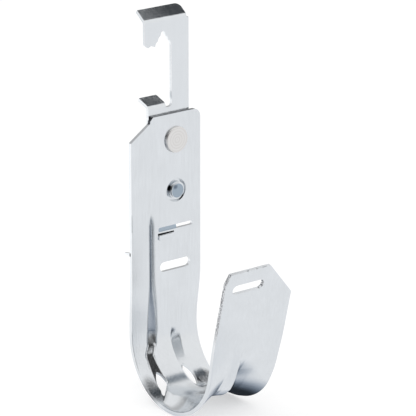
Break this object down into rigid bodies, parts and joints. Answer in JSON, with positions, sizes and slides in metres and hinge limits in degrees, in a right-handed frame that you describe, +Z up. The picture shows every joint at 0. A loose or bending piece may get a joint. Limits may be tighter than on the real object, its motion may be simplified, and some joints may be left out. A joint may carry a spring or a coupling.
{
  "type": "j hook cable support",
  "caption": "Zinc-plated sheet J hook with a stepped bend for cable bundles, riveted to a toothed clip that hangs it from a rod, wire or flange.",
  "frame": {"origin": "top of the toothed notch in the clip's jaw, on the middle of the clip's sheet and of the strip's width", "axes": "+Z up, -Y towards the hook's lip, +X across the strip away from the clip's open mouth"},
  "size_m": [0.036, 0.0715, 0.1639],
  "materials": {
    "hook_strip": "bright zinc plate, faint rolling grain",
    "rod_clip": "zinc plate with a slightly grainy face on the bent flanges",
    "rivet": "satin zinc plate"
  },
  "bodies": {
    "root": {"hook_strip": "hook_strip", "rod_clip": "rod_clip", "rivet": "rivet"}
  },
  "joints": []
}
